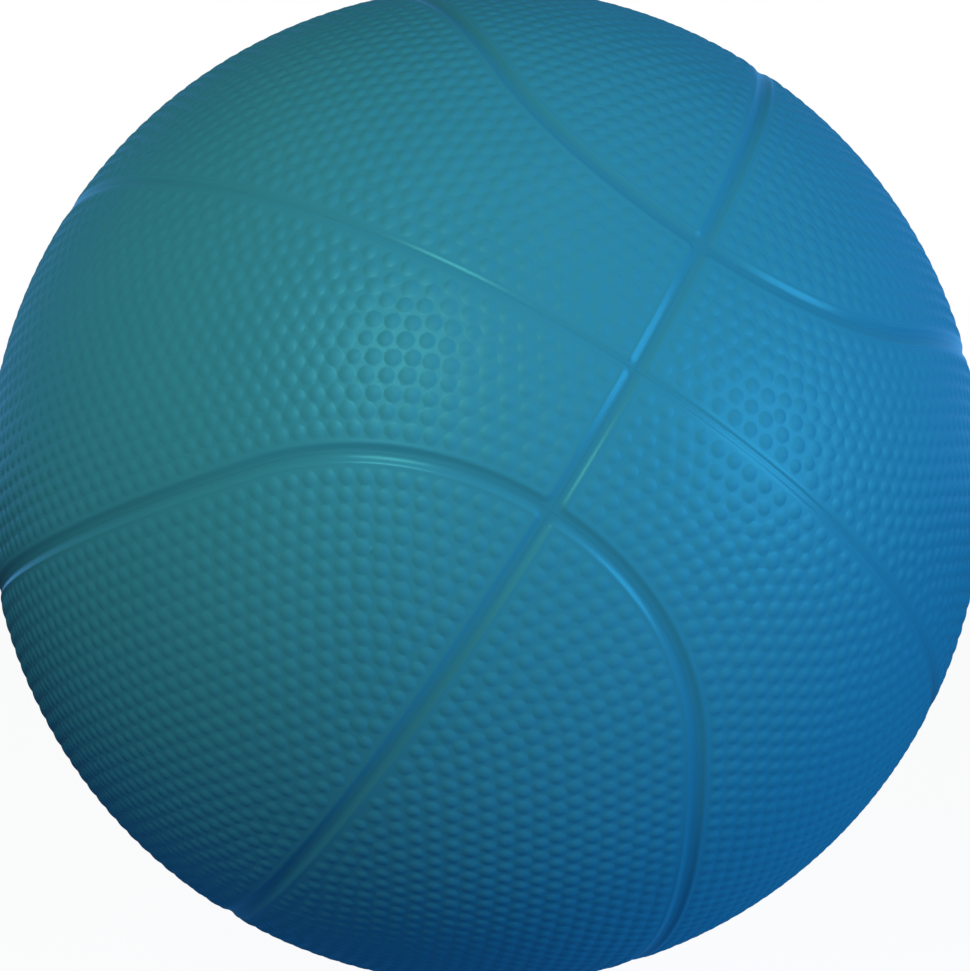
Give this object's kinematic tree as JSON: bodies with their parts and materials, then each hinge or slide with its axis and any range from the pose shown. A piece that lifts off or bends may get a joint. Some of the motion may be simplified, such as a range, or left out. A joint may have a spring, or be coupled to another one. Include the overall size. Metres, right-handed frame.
{
  "type": "inflatable dodgeball",
  "caption": "Round inflatable rubber dodgeball: pebbled cover panels parted by channels, on a carcass, thread winding and bladder, with a needle valve to pump it up.",
  "frame": {"origin": "centre of the ball", "axes": "+Z out through the needle valve, -Y towards the viewer of the picture, +X to the viewer's right"},
  "size_m": [0.216, 0.216, 0.2159],
  "materials": {
    "cover_rubber": "satin",
    "carcass_rubber": "satin",
    "winding_thread": "matte",
    "bladder_rubber": "satin",
    "valve_rubber": "satin",
    "plug_rubber": "matte"
  },
  "bodies": {
    "root": {"loop_panel_top": "cover_rubber", "loop_panel_right": "cover_rubber", "loop_panel_bottom": "cover_rubber", "loop_panel_left": "cover_rubber", "band_panel_right": "cover_rubber", "band_panel_upper_left": "cover_rubber", "band_panel_lower_right": "cover_rubber", "band_panel_left": "cover_rubber", "carcass": "carcass_rubber", "thread_winding": "winding_thread", "bladder": "bladder_rubber", "valve_housing": "valve_rubber", "valve_plug": "plug_rubber"}
  },
  "joints": []
}
